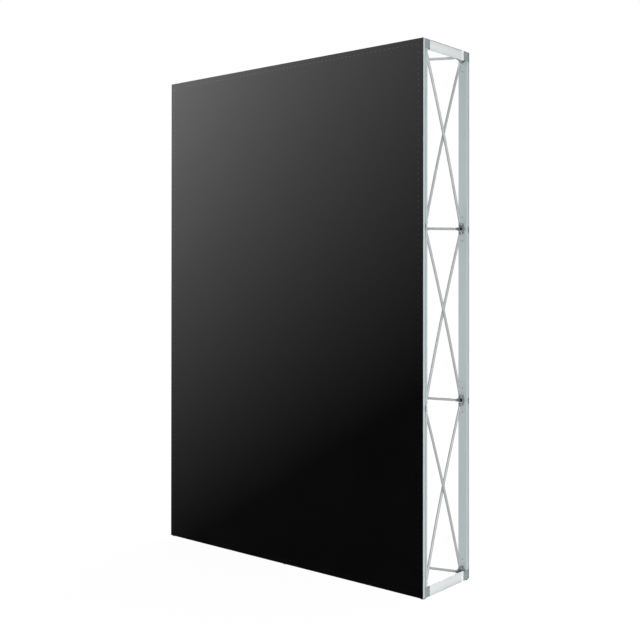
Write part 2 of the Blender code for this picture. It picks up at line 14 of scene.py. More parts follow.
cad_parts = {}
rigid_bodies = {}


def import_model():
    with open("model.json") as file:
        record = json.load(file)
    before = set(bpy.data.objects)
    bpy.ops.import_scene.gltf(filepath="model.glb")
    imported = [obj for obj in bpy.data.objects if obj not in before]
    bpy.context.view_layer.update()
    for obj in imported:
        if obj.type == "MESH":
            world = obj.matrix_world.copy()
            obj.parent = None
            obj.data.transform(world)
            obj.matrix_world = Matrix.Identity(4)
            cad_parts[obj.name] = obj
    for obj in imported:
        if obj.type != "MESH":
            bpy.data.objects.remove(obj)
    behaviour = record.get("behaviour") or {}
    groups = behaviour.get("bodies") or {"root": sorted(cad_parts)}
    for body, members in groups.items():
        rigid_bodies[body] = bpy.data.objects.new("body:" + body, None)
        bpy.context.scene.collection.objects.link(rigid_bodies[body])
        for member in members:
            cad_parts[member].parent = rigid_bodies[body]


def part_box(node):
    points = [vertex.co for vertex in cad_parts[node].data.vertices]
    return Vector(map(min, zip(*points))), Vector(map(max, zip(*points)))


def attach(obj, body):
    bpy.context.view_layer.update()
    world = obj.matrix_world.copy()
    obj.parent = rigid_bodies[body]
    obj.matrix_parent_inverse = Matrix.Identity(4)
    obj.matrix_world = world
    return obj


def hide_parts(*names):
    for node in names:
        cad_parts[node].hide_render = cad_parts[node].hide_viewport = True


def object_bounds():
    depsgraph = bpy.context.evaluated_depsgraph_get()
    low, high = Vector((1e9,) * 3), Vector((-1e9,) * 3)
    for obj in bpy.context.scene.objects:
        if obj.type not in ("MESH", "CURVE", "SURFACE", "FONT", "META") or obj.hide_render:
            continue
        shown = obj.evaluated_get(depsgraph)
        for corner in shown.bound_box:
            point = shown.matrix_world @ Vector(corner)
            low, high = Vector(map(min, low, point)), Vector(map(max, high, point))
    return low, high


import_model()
cad_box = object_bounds()

# Outer sizes, from the frame
LOW_CORNER, HIGH_CORNER = cad_box
WIDTH = HIGH_CORNER.x - LOW_CORNER.x
COVER_FRONT = LOW_CORNER.y
REAR_FACE = HIGH_CORNER.y
FRAME_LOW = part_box("fabric_cover")[0].z
FRAME_TOP = HIGH_CORNER.z
MM = 0.001
GAP = 0.3 * MM

# Cover
COVER_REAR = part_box("fabric_cover")[1].y
CLOTH_THICKNESS = 0.5 * MM
HEM_WIDTH = 22 * MM
HEM_RISE = 0.35 * MM
STITCH_PITCH = 22 * MM
STITCH_LENGTH = 7 * MM
STITCH_RADIUS = 1.8 * MM
COVER_GRID = 44 * MM
RIM_ROLL = 2.2 * MM
KEDER_INSET = 2.2 * MM
KEDER_WIDTH = 3.6 * MM
KEDER_DEPTH = 11 * MM

# Channel bars
BAR_WIDTH = 40 * MM
BAR_WALL = 2.4 * MM
FRONT_BAR_DEPTH = 30 * MM
REAR_BAR_DEPTH = 22 * MM
SIDE_GROOVE_DEPTH = 7 * MM
FRONT_GROOVE_START = 13 * MM
FRONT_GROOVE_WIDTH = 9 * MM
REAR_GROOVE_LIP = 1.5 * MM
REAR_GROOVE_WIDTH = 10.5 * MM
HOLLOW_INSET = 9 * MM
SLOT_WIDTH = 8 * MM
EDGE_ROUND = 0.5 * MM
JOINT_LENGTH = 24 * MM
JOINT_DROP = 4 * MM
BAR_GAP = 0.4 * MM
RIVET_FROM_JOINT = 50 * MM
RIVET_FROM_END = 81 * MM
BAR_RIVET_RADIUS = 3.2 * MM
BAR_RIVET_RISE = 1.1 * MM
POST_CAP = 2.5 * MM
POST_CAP_INSET = 0.2 * MM

# Corner brackets, end bars and feet
FRONT_EAR = 18 * MM
REAR_EAR = 22 * MM
END_BAR_THICKNESS = 7 * MM
END_BAR_WALL = 2 * MM
END_BAR_FRONT_CAP = 6 * MM
END_BAR_REAR_CAP = 18 * MM
TRIM_HEIGHT = 3 * MM
BRACKET_SKIN = 1.2 * MM
BRACKET_PROUD = 0.7 * MM
BRACKET_ROOT_INSET = 1.5 * MM
BRACKET_SCREW_PLACE = 7 * MM
# Size of the dark band painted as shade under each bracket's ear
SHADE_BAND_LENGTH = 11 * MM
SHADE_BAND_HEIGHT = 4 * MM
LIP_HEIGHT = 2 * MM
FOOT_HEIGHT = FRAME_LOW
FOOT_RADIUS = 11 * MM
FOOT_END_INSET = 11.5 * MM
FRONT_FOOT_PLACE = 15 * MM
REAR_FOOT_PLACE = 8 * MM

# Hubs and tubes
HUB_SIDE_MARGIN = 20 * MM
HUB_LOW_MARGIN = 31 * MM
HUB_TOP_MARGIN = 23 * MM
CELLS_ACROSS = 2
CELLS_UP = 3
LADDER_HUB = ("rear", "middle", 1)
HUB_SEAT = 18 * MM
ARM_REACH = 18 * MM
BOSS_RADIUS = 11.5 * MM
BOSS_RISE = -4.5 * MM
BORE_RADIUS = 7 * MM
BORE_DEPTH = 10.5 * MM
SEAT_THICKNESS = 6 * MM
SEAT_HALF_WIDTH = 7 * MM
SEAT_TOE = 3.5 * MM
PRONG_THICKNESS = 3.4 * MM
PRONG_RADIUS = 5.5 * MM
PRONG_ROOT = 3 * MM
PIN_RADIUS = 2 * MM
TUBE_RADIUS = 5.5 * MM
TUBE_START = 9.5 * MM
TUBE_CROSS_GAP = 0.6 * MM
TUBE_LIP = 0.5 * MM
TONGUE_THICKNESS = 3.4 * MM
TONGUE_RADIUS = 4.4 * MM
TONGUE_TAIL = 12 * MM
TUBE_BOW = TUBE_RADIUS + TUBE_CROSS_GAP / 2

# Light ladder
STRIP_COUNT = 5
STRIP_PITCH = 200 * MM
STRIP_WIDTH = 20 * MM
STRIP_THICKNESS = 4 * MM
STRIP_WALL = 1 * MM
RAIL_HEIGHT = 16 * MM
RAIL_THICKNESS = 9 * MM
RAIL_OVERHANG = 8 * MM
RAIL_LIP = 2.2 * MM
LADDER_CAP = 5 * MM
BOARD_WIDTH = 16 * MM
BOARD_THICKNESS = 0.8 * MM
BOARD_INSET = 12 * MM
LED_PITCH = 62 * MM
LED_FROM_END = 30 * MM
RESISTOR_PLACE = 14 * MM
DRIVER_SIZE = Vector((150, 14, 42)) * MM
DRIVER_PLACE = -100 * MM
DRIVER_RIBS = 9
INLET_SIZE = Vector((12, 10, 10)) * MM

# Derived places
FRONT_FRAME_FRONT = COVER_REAR + GAP
FRONT_FRAME_REAR = FRONT_FRAME_FRONT + FRONT_BAR_DEPTH
REAR_FRAME_FRONT = REAR_FACE - REAR_BAR_DEPTH
HUB_FRONT_Y = FRONT_FRAME_REAR + GAP + HUB_SEAT
HUB_REAR_Y = REAR_FRAME_FRONT - GAP - HUB_SEAT
CELL_WIDTH = (WIDTH - 2 * HUB_SIDE_MARGIN) / CELLS_ACROSS
CELL_HEIGHT = (FRAME_TOP - FRAME_LOW - HUB_LOW_MARGIN - HUB_TOP_MARGIN) / CELLS_UP
TUBE_LENGTH = math.hypot(CELL_WIDTH - 2 * ARM_REACH, HUB_REAR_Y - HUB_FRONT_Y)
ROWS = range(1, CELLS_UP + 2)
ROW_HEIGHTS = {row: FRAME_LOW + HUB_LOW_MARGIN + (row - 1) * CELL_HEIGHT for row in ROWS}
COLUMNS = {"left": -1, "middle": 0, "right": 1}
SIGNS = {"left": -1, "right": 1}
LEVELS = ("bottom", "top")
ARM_ANGLES = {"+x": 0.0, "-z": math.pi / 2, "-x": math.pi, "+z": 3 * math.pi / 2}
ALONG_X, ALONG_Z = Vector((1, 0, 0)), Vector((0, 0, 1))
ARM_WAYS = {"+x": ALONG_X, "-x": -ALONG_X, "+z": ALONG_Z, "-z": -ALONG_Z}
OPPOSITE = {"+x": "-x", "-x": "+x", "+z": "+z", "-z": "-z"}

# Camera: place, direction and lens, and the photograph's size in pixels
CAMERA_PLACE = (2.8822, -3.3807, 1.2765)
CAMERA_YAW = math.radians(39.79)
CAMERA_PITCH = math.radians(0.165)
CAMERA_ROLL = math.radians(0.05)
PHOTO_SIZE = 640
FOCAL_PIXELS = 970.4
AXIS_PIXEL_Y = 274
SENSOR = 36

# Soft lamps: place, the point that each one faces, side and power in watts
LAMPS = {
    "key": ((-2.56, -4.0, 3.27), (-4.398, -0.469, 6.296), 2.16, 1750),
    "fill": ((3.9, -2.9, 1.1), (0.7, 0, 1.1), 3.5, 255),
    "bounce": ((1.4, -0.4, 0.003), (1.4, -0.4, 1), 3.0, 10),
    "back": ((-1.6, 5.0, 2.3), (0, 0, 1.1), 3.0, 130),
}


# Materials

NOISE_LOW, NOISE_HIGH = 0.3, 0.7
BAR_COLOUR = (0.45, 0.505, 0.51)


def feed(tree, node, inputs):
    """Link the inputs that are given as sockets and set the others."""
    for key, value in inputs.items():
        if isinstance(value, bpy.types.NodeSocket):
            tree.links.new(value, node.inputs[key])
        else:
            node.inputs[key].default_value = value


def add_node(tree, kind, inputs, **settings):
    """A new shader node with its settings, its inputs fed."""
    node = tree.nodes.new("ShaderNode" + kind)
    for name, value in settings.items():
        setattr(node, name, value)
    feed(tree, node, inputs)
    return node


class Shading:
    """A material with its Principled shader and short ways to add nodes to it."""

    def __init__(self, name, colour, roughness, **sockets):
        self.material = bpy.data.materials.new(name)
        self.material.use_nodes = True
        self.tree = self.material.node_tree
        self.colour = colour
        self.feed(Base_Color=(*colour, 1), Roughness=roughness, **sockets)
        self.place = self.add("TexCoord", {}, "Object")

    def feed(self, **sockets):
        """Set or link inputs of the Principled shader, named with _ for a space."""
        inputs = {socket.replace("_", " "): value for socket, value in sockets.items()}
        feed(self.tree, self.tree.nodes["Principled BSDF"], inputs)

    def add(self, kind, inputs, output, **settings):
        """An output of a new node."""
        return add_node(self.tree, kind, inputs, **settings).outputs[output]

    def noise(self, scale, detail=3.0, stretch=(1, 1, 1)):
        vector = self.add("Mapping", {"Vector": self.place, "Scale": stretch}, "Vector")
        return self.add("TexNoise", {"Vector": vector, "Scale": scale, "Detail": detail}, "Fac")

    def wave(self, scale, direction, turn=0.0):
        vector = self.add("Mapping", {"Vector": self.place, "Rotation": (0, turn, 0)}, "Vector")
        inputs = {"Vector": vector, "Scale": scale, "Distortion": 0.4, "Detail": 1.0}
        return self.add("TexWave", inputs, "Fac", bands_direction=direction)

    def joined(self, first, second, operation):
        return self.add("Math", {0: first, 1: second}, "Value", operation=operation)

    def vary_colour(self, value, darker, lighter):
        """The colour runs from a darker to a lighter multiple of itself with the value."""
        ramp = add_node(self.tree, "ValToRGB", {"Fac": value})
        stops = zip(ramp.color_ramp.elements, (NOISE_LOW, NOISE_HIGH), (darker, lighter))
        for element, place, share in stops:
            element.position = place
            element.color = (*[min(1, c * share) for c in self.colour], 1)
        self.feed(Base_Color=ramp.outputs["Color"])

    def vary_roughness(self, value, low, high):
        span = {"From Min": NOISE_LOW, "From Max": NOISE_HIGH, "To Min": low, "To Max": high}
        self.feed(Roughness=self.add("MapRange", {"Value": value, **span}, "Result"))

    def bump(self, value, distance, strength):
        inputs = {"Height": value, "Distance": distance, "Strength": strength}
        self.feed(Normal=self.add("Bump", inputs, "Normal"))


def brushed_metal(name, colour, roughness, stretch, metallic):
    """Anodised aluminium with fine die lines along its length and faint handling marks."""
    s = Shading(name, colour, roughness, Metallic=metallic)
    lines = s.noise(900, 4, stretch)
    marks = s.noise(9, 5)
    s.vary_colour(s.joined(lines, marks, "MULTIPLY"), 1.08, 0.9)
    s.vary_roughness(marks, roughness - 0.05, roughness + 0.12)
    s.bump(lines, 0.04 * MM, 0.5)
    return s.material


def moulded_plastic(name, colour, roughness, grain=900):
    """Moulded plastic with a fine spark-eroded grain and slight mottling."""
    s = Shading(name, colour, roughness, Specular_IOR_Level=0.4)
    mottle = s.noise(70, 4)
    s.vary_colour(mottle, 0.82, 1.15)
    s.vary_roughness(mottle, roughness - 0.06, roughness + 0.08)
    s.bump(s.noise(grain, 2), 0.08 * MM, 0.4)
    return s.material


def painted(name, colour, roughness):
    """Powder coat with orange peel and a little dust."""
    s = Shading(name, colour, roughness)
    dust = s.noise(14, 6)
    s.vary_colour(dust, 0.95, 1.02)
    s.vary_roughness(dust, roughness - 0.04, roughness + 0.1)
    s.bump(s.noise(420, 1), 0.06 * MM, 0.35)
    return s.material


def rubber():
    s = Shading("foot_rubber", (0.012, 0.012, 0.013), 0.75)
    s.vary_colour(s.noise(160, 5), 0.7, 1.9)
    s.bump(s.noise(1500, 2), 0.1 * MM, 0.5)
    return s.material


def knitted_cover(name, colour, gloss):
    """Stretch knit: crossed fine ribs, and a slow change of tone where the cloth is pulled."""
    s = Shading(name, colour, 0.8, Specular_IOR_Level=gloss, Sheen_Weight=0.05, Sheen_Roughness=0.5)
    ribs = s.joined(*[s.wave(420, "X", math.radians(turn)) for turn in (32, -32)], "MULTIPLY")
    tone = s.noise(3.5, 3)
    s.vary_colour(tone, 0.96, 1.05)
    s.vary_roughness(tone, 0.76, 0.84)
    s.bump(s.joined(ribs, s.noise(1400, 2), "ADD"), 0.12 * MM, 0.35)
    return s.material


def thread():
    s = Shading("stitch_thread", (0.15, 0.148, 0.148), 0.7, Specular_IOR_Level=0.1)
    s.vary_colour(s.noise(900, 2), 0.6, 1.5)
    s.bump(s.wave(1800, "DIAGONAL"), 0.08 * MM, 0.6)
    return s.material


def led_lens():
    s = Shading("led_lens", (0.86, 0.87, 0.85), 0.18, Coat_Weight=0.3)
    s.vary_roughness(s.noise(60, 3), 0.12, 0.26)
    s.bump(s.noise(500, 1), 0.05 * MM, 0.3)
    return s.material


def make_materials():
    along_x, along_z = (0.012, 1, 1), (1, 1, 0.012)
    return {
        "bar_upright": brushed_metal("bar_aluminium_upright", BAR_COLOUR, 0.5, along_z, 0.25),
        "bar_level": brushed_metal("bar_aluminium_level", BAR_COLOUR, 0.5, along_x, 0.25),
        "tube": brushed_metal("tube_aluminium", (0.34, 0.355, 0.365), 0.45, along_x, 0.25),
        "steel": brushed_metal("pin_steel", (0.50, 0.50, 0.50), 0.35, (1, 1, 1), 0.6),
        "rivet": brushed_metal("rivet_steel", (0.22, 0.25, 0.25), 0.45, (1, 1, 1), 0.3),
        "hub": moulded_plastic("hub_plastic", (0.17, 0.185, 0.19), 0.5),
        "bracket": moulded_plastic("bracket_plastic", (0.25, 0.29, 0.295), 0.5),
        # Dark plastic of the joints and caps, also used for the bands painted as shade under the bracket ears.
        "joint": moulded_plastic("joint_plastic_and_shade_band", (0.13, 0.14, 0.165), 0.5),
        "end_bar": painted("end_bar_paint", (0.73, 0.755, 0.76), 0.45),
        # Pale plastic of the end caps, also used for the hubs' spring bars, where it is partly a painted
        # highlight.
        "end_cap": moulded_plastic("end_cap_plastic_and_highlight", (0.84, 0.865, 0.86), 0.45),
        # The end bars' trim in two tones: the darker one is painted shade, the paler one is painted light.
        "trim": moulded_plastic("trim_painted_shade", (0.30, 0.31, 0.31), 0.55),
        "trim_painted_light": moulded_plastic("trim_painted_light", (0.55, 0.57, 0.58), 0.55),
        "rubber": rubber(),
        "cover": knitted_cover("cover_fabric", (0.040, 0.040, 0.041), 0.06),
        "cover_back": knitted_cover("cover_lining", (0.70, 0.71, 0.70), 0.2),
        "silicone": moulded_plastic("silicone_edge", (0.045, 0.045, 0.046), 0.45, 400),
        "thread": thread(),
        "strip": painted("strip_white", (0.80, 0.81, 0.80), 0.4),
        "lens": led_lens(),
        "rail": painted("rail_white", (0.78, 0.79, 0.78), 0.4),
        "driver": painted("driver_white", (0.74, 0.75, 0.74), 0.45),
        # Black of the driver's inlet, also used for the painted shade in the hub bores.
        "dark": moulded_plastic("inlet_black_and_bore_shade", (0.02, 0.02, 0.02), 0.45),
    }


MATERIALS = make_materials()


# Meshes


def shape_mesh(name, shape):
    bmesh.ops.recalc_face_normals(shape, faces=shape.faces)
    mesh = bpy.data.meshes.new(name)
    shape.to_mesh(mesh)
    shape.free()
    return mesh


def placed(name, data):
    """A new object in the scene."""
    made = bpy.data.objects.new(name, data)
    bpy.context.scene.collection.objects.link(made)
    return made


def piece(name, shape, material, body, replaces=(), smooth=35, place=None):
    """An object from a bmesh, or from a mesh that pieces share, riding on a body."""
    mesh = shape if isinstance(shape, bpy.types.Mesh) else shape_mesh(name, shape)
    mesh.shade_smooth()
    mesh.set_sharp_from_angle(angle=math.radians(smooth))
    if not mesh.materials:
        mesh.materials.append(MATERIALS[material])
    made = placed(name, mesh)
    if place is not None:
        made.matrix_world = place
    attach(made, body)
    for node in replaces:
        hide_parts(node)
    return made


def skin(shape, loops):
    """A solid through loops of points, capped at both ends. A loop of one point is a tip. Gives the caps."""
    rings = [[shape.verts.new(point) for point in loop] for loop in loops]
    count = max(len(ring) for ring in rings)
    for first, second in zip(rings, rings[1:]):
        for k in range(count):
            following = (k + 1) % count
            corners = [first[k % len(first)], first[following % len(first)]]
            corners += [second[following % len(second)], second[k % len(second)]]
            shape.faces.new(list(dict.fromkeys(corners)))
    return [shape.faces.new(ring) for ring in (rings[0][::-1], rings[-1]) if len(ring) > 1]


def round_edges(shape, edges, rounding, segments=2, clamp=False):
    settings = {"segments": segments, "profile": 0.5, "affect": "EDGES", "clamp_overlap": clamp}
    bmesh.ops.bevel(shape, geom=edges, offset=rounding, **settings)


def add_box(shape, low, high, rounding=0.0, segments=2):
    """A box between two corners in any order, its edges rounded."""
    low, high = Vector(low), Vector(high)
    size = Vector([abs(b - a) for a, b in zip(low, high)])
    made = bmesh.ops.create_cube(shape, size=1)["verts"]
    bmesh.ops.scale(shape, vec=size, verts=made)
    bmesh.ops.translate(shape, vec=(low + high) / 2, verts=made)
    if rounding:
        round_edges(shape, list({edge for vert in made for edge in vert.link_edges}), rounding, segments)
    return shape


def add_block(shape, middle, size, rounding=0.0, segments=2):
    """A box of a size about its middle."""
    half = Vector(size) / 2
    return add_box(shape, middle - half, middle + half, rounding, segments)


def circle(radius, sides):
    """Points of a circle in XY."""
    turns = [2 * math.pi * k / sides for k in range(sides)]
    return [(radius * math.cos(t), radius * math.sin(t)) for t in turns]


def add_turned(shape, profile, matrix, sides):
    """A solid turned about Z from (radius, height) points, its ends closed on the axis, then placed."""
    rings = [(circle(radius, sides if radius else 1), height) for radius, height in profile]
    skin(shape, [[matrix @ Vector((x, y, height)) for x, y in ring] for ring, height in rings])
    return shape


def rod_profile(radius, low, high, rounding):
    """(radius, height) points of a rod from low to high with rounded rims."""
    quarter = [math.radians(a) for a in (0, 22.5, 45, 67.5, 90)]
    inner = radius - rounding
    base = [(inner + rounding * math.sin(a), low + rounding - rounding * math.cos(a)) for a in quarter]
    top = [(inner + rounding * math.cos(a), high - rounding + rounding * math.sin(a)) for a in quarter]
    return [(0, low), *base, *top, (0, high)]


def dome_profile(radius, low, rise):
    """(radius, height) points of a low domed rivet head that stands on low."""
    arc = [(radius * math.cos(a), low + rise * math.sin(a)) for a in map(math.radians, (0, 20, 40, 60, 78))]
    return [(0, low - rise), (radius, low - rise), *arc, (0, low + rise)]


def facing(direction, place):
    """The matrix that turns +Z to a direction and moves to a place."""
    turn = Vector((0, 0, 1)).rotation_difference(Vector(direction)).to_matrix().to_4x4()
    return Matrix.Translation(place) @ turn


def add_prism(shape, outline, thickness, middle, rounding):
    """A plate with an outline in XY, its thickness along Z about its middle, its rims rounded."""
    heights = (-thickness / 2, thickness / 2)
    caps = skin(shape, [[middle + Vector((x, y, height)) for x, y in outline] for height in heights])
    round_edges(shape, [edge for cap in caps for edge in cap.edges], rounding)
    return shape


def fused(name, solids, holes):
    """One mesh from solids joined by Booleans and cut by the holes."""
    helpers = [placed("helper", shape_mesh("helper", shape)) for shape in (*solids, *holes)]
    base = helpers[0]
    for number, other in enumerate(helpers[1:], 1):
        step = base.modifiers.new("join", "BOOLEAN")
        step.operation = "UNION" if number < len(solids) else "DIFFERENCE"
        step.solver = "EXACT"
        step.object = other
    bpy.context.view_layer.update()
    evaluated = base.evaluated_get(bpy.context.evaluated_depsgraph_get())
    mesh = bpy.data.meshes.new_from_object(evaluated)
    mesh.name = name
    for helper in helpers:
        bpy.data.objects.remove(helper, do_unlink=True)
    return mesh


# Channel frames


def channel_frame(face, way, depth, groove_start, groove_width, front_slot=(), **shared):
    """What the pieces of a frame share: places in Y from its face inwards, and the outline of its bars.

    The outline's points are (across from the outer edge, depth from the face).
    """
    wall = BAR_WALL
    slot_low, slot_high = (depth - SLOT_WIDTH) / 2, (depth + SLOT_WIDTH) / 2
    groove_end = groove_start + groove_width
    profile = [
        (0, 0), *front_slot, (BAR_WIDTH, 0), (BAR_WIDTH, slot_low), (BAR_WIDTH - wall, slot_low),
        (BAR_WIDTH - wall, wall), (HOLLOW_INSET, wall), (HOLLOW_INSET, depth - wall),
        (BAR_WIDTH - wall, depth - wall), (BAR_WIDTH - wall, slot_high), (BAR_WIDTH, slot_high),
        (BAR_WIDTH, depth), (0, depth), (0, groove_end), (SIDE_GROOVE_DEPTH, groove_end),
        (SIDE_GROOVE_DEPTH, groove_start), (0, groove_start),
    ]
    groove = (face + way * groove_start, face + way * groove_end)
    inner = face + way * depth
    return SimpleNamespace(face=face, way=way, inner=inner, groove=groove, profile=profile, **shared)


KEDER_FAR = KEDER_INSET + KEDER_WIDTH
KEDER_SLOT = [(KEDER_INSET, 0), (KEDER_INSET, KEDER_DEPTH), (KEDER_FAR, KEDER_DEPTH), (KEDER_FAR, 0)]
FRAMES = {
    "front": channel_frame(
        FRONT_FRAME_FRONT, 1, FRONT_BAR_DEPTH, FRONT_GROOVE_START, FRONT_GROOVE_WIDTH, KEDER_SLOT,
        sides=("left", "right", "bottom", "top"), ear=FRONT_EAR, end_cap=0,
        feet=("left", "middle", "right"), feet_y=FRONT_FRAME_FRONT + FRONT_FOOT_PLACE,
    ),
    "rear": channel_frame(
        REAR_FACE, -1, REAR_BAR_DEPTH, REAR_GROOVE_LIP, REAR_GROOVE_WIDTH,
        sides=("left", "right"), ear=REAR_EAR, end_cap=POST_CAP,
        feet=("left", "right"), feet_y=REAR_FRAME_FRONT + REAR_FOOT_PLACE,
    ),
}


def frame_piece(which, side, name, shape, material, stands_in=True, smooth=35):
    """A piece of the front frame or of a rear post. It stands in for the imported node, or is only a detail."""
    node = "front_channel_frame" if which == "front" else "rear_post_" + side
    piece(f"{which}_{name}", shape, material, which + "_frame", [node] if stands_in else (), smooth)


def side_point(side, across, along, y):
    """A point on one side of a channel frame, across from its outer edge and along it."""
    if side in SIGNS:
        return Vector((SIGNS[side] * (WIDTH / 2 - across), y, along))
    return Vector((along, y, FRAME_LOW + across if side == "bottom" else FRAME_TOP - across))


def side_span(side):
    return (FRAME_LOW, FRAME_TOP) if side in SIGNS else (-WIDTH / 2, WIDTH / 2)


def add_run(shape, which, side, start, end):
    """A length of bar between two places along a side, cut at 45 degrees at the front frame's corners."""
    kind = FRAMES[which]
    slants = dict(zip(side_span(side), (1, -1))) if which == "front" else {}
    loops = []
    for place in (start, end):
        slant, face, way = slants.get(place, 0), kind.face, kind.way
        loops.append([side_point(side, u, place + slant * u, face + way * v) for u, v in kind.profile])
    skin(shape, loops)
    bmesh.ops.recalc_face_normals(shape, faces=shape.faces)
    round_edges(shape, shape.edges[:], EDGE_ROUND, clamp=True)
    return shape


def joint_places(side):
    """Where the lengths of a side meet: at the inner hub rows, or at the middle."""
    return [ROW_HEIGHTS[row] for row in ROWS[1:-1]] if side in SIGNS else [0.0]


def frame_bars(which):
    """The lengths of bar on each side, and the moulded pieces in their grooves that join them."""
    kind = FRAMES[which]
    for side in kind.sides:
        joints = joint_places(side)
        first_end, last_end = side_span(side)
        starts = [first_end + kind.end_cap, *[place + BAR_GAP / 2 for place in joints]]
        ends = [*[place - BAR_GAP / 2 for place in joints], last_end - kind.end_cap]
        material = "bar_upright" if side in SIGNS else "bar_level"
        for number, (start, end) in enumerate(zip(starts, ends), 1):
            shape = add_run(bmesh.new(), which, side, start, end)
            frame_piece(which, side, f"bar_{side}_{number}", shape, material, smooth=20)
        for number, place in enumerate(joints, 1):
            middle = place - JOINT_DROP
            low = side_point(side, GAP, middle - JOINT_LENGTH / 2, kind.groove[0])
            high = side_point(side, SIDE_GROOVE_DEPTH, middle + JOINT_LENGTH / 2, kind.groove[1])
            shape = add_box(bmesh.new(), low, high, 0.6 * MM, 3)
            frame_piece(which, side, f"joint_{side}_{number}", shape, "joint")


def post_caps(side):
    """Moulded caps on both ends of a rear post."""
    shape = bmesh.new()
    inset = POST_CAP_INSET
    for end, way in ((FRAME_LOW, 1), (FRAME_TOP, -1)):
        low = side_point(side, inset, end, REAR_FACE - inset)
        high = side_point(side, BAR_WIDTH - inset, end + way * POST_CAP, REAR_FRAME_FRONT + inset)
        add_box(shape, low, high, 0.7 * MM, 3)
    frame_piece("rear", side, f"post_{side}_caps", shape, "joint")


def frame_rivets(which):
    """Domed rivets on the inner face of the bars, beside each joint and each corner."""
    kind = FRAMES[which]
    head = dome_profile(BAR_RIVET_RADIUS, 0, BAR_RIVET_RISE)
    for side in kind.sides:
        shape = bmesh.new()
        first_end, last_end = side_span(side)
        places = [place + step * RIVET_FROM_JOINT for place in joint_places(side) for step in (-1, 1)]
        for place in (*places, first_end + RIVET_FROM_END, last_end - RIVET_FROM_END):
            spot = side_point(side, BAR_WIDTH / 2, place, kind.inner)
            add_turned(shape, head, facing((0, kind.way, 0), spot), 20)
        frame_piece(which, side, f"rivets_{side}", shape, "rivet")


def bar_low(level):
    """The lower edge of a bottom or top bar."""
    return FRAME_LOW if level == "bottom" else FRAME_TOP - BAR_WIDTH


def corner_bracket(which, side, level):
    """A moulded bracket with its root in the side groove of a corner and the ear that meets the end bar."""
    kind, sign = FRAMES[which], SIGNS[side]
    outer = sign * WIDTH / 2
    proud, ear_inner = outer + sign * BRACKET_PROUD, outer - sign * END_BAR_THICKNESS
    plate_inner = outer - sign * BRACKET_SKIN
    ear_start, ear_end = kind.inner - kind.way * BAR_WALL, kind.inner + kind.way * kind.ear
    groove_start, groove_end = kind.groove
    plate_start = groove_start if which == "front" else groove_end
    outline = [(proud, plate_start), (proud, ear_end), (ear_inner, ear_end), (ear_inner, ear_start)]
    outline += [(plate_inner, ear_start), (plate_inner, plate_start)]
    low = bar_low(level)
    middle = Vector((0, 0, low + BAR_WIDTH / 2))
    shape = add_prism(bmesh.new(), outline, BAR_WIDTH - 0.7 * MM, middle, 0.5 * MM)
    frame_piece(which, side, f"bracket_{side}_{level}", shape, "bracket")
    root_low = (outer - sign * SIDE_GROOVE_DEPTH, groove_start, low + BRACKET_ROOT_INSET)
    root_high = (outer - sign * GAP, groove_end, low + BAR_WIDTH - BRACKET_ROOT_INSET)
    shape = add_box(bmesh.new(), root_low, root_high, 0.5 * MM)
    frame_piece(which, side, f"bracket_root_{side}_{level}", shape, "joint")
    bracket_details(which, side, level, ear_start, ear_end)


def bracket_details(which, side, level, ear_start, ear_end):
    """A countersunk screw, a dark band at the ear's inner corner as painted shade, a lip on the rear ones."""
    way, sign = FRAMES[which].way, SIGNS[side]
    outer, low = sign * WIDTH / 2, bar_low(level)
    spot = (outer + sign * BRACKET_PROUD, ear_end - way * BRACKET_SCREW_PLACE, low + BAR_WIDTH / 2)
    shape = add_turned(bmesh.new(), dome_profile(3 * MM, -0.2 * MM, 0.3 * MM), facing((sign, 0, 0), spot), 24)
    frame_piece(which, side, f"bracket_screw_{side}_{level}", shape, "rivet", False)
    near_edge, far_edge, inward = (low, low + BAR_WIDTH, 1) if level == "top" else (low + BAR_WIDTH, low, -1)
    skin_out, ear_tip = outer + sign * (BRACKET_PROUD + 0.25 * MM), ear_end - way * 0.4 * MM
    ear_inner = outer - sign * END_BAR_THICKNESS
    # The dark band along the ear's inner edge is painted shade under the ear.
    shade_band_end = (ear_inner, ear_end - way * SHADE_BAND_LENGTH, near_edge + inward * SHADE_BAND_HEIGHT)
    shape = add_box(bmesh.new(), (skin_out, ear_tip, near_edge), shade_band_end, 0.5 * MM)
    if which == "rear":
        lip_end = (ear_inner, ear_start + way * 3 * MM, far_edge - inward * LIP_HEIGHT)
        add_box(shape, (skin_out, ear_tip, far_edge), lip_end, 0.5 * MM)
    frame_piece(which, side, f"bracket_clip_{side}_{level}", shape, "joint", False)


def frame_feet(which):
    """Rubber feet with a chamfered tread: three under the front frame, one under each rear post."""
    rim, top = FOOT_RADIUS, FOOT_HEIGHT
    profile = [(0, 0.5 * MM), (3 * MM, 0.5 * MM), (3.4 * MM, 0), (rim - 1.2 * MM, 0)]
    profile += [(rim - 0.3 * MM, 0.9 * MM), (rim, 1.8 * MM), (rim, top - 0.2 * MM)]
    profile += [(rim - 0.5 * MM, top + 0.4 * MM), (0, top + 0.4 * MM)]
    for side in FRAMES[which].feet:
        place = (COLUMNS[side] * (WIDTH / 2 - FOOT_END_INSET), FRAMES[which].feet_y, 0)
        shape = add_turned(bmesh.new(), profile, Matrix.Translation(place), 36)
        frame_piece(which, side, "foot_" + side, shape, "rubber")


def channel_frames():
    for which in FRAMES:
        frame_bars(which)
        frame_rivets(which)
        frame_feet(which)
        for side in SIGNS:
            for level in LEVELS:
                corner_bracket(which, side, level)
    for side in SIGNS:
        post_caps(side)


# End bars


def end_bar_profile():
    """(depth into the bar from its outer face, height) outline of the channel, ribbed on its outer face."""
    wall, thickness, height = END_BAR_WALL, END_BAR_THICKNESS, BAR_WIDTH
    outline = [(0, 0.6 * MM), (0.6 * MM, 0), (thickness, 0), (thickness, wall), (wall, wall)]
    outline += [(wall, height - wall), (thickness, height - wall), (thickness, height), (0.6 * MM, height)]
    outline += [(0, height - 0.6 * MM)]
    for place in (height - 4 * MM, 4 * MM):
        outline += [(0, place + 0.5 * MM), (0.5 * MM, place), (0, place - 0.5 * MM)]
    return outline


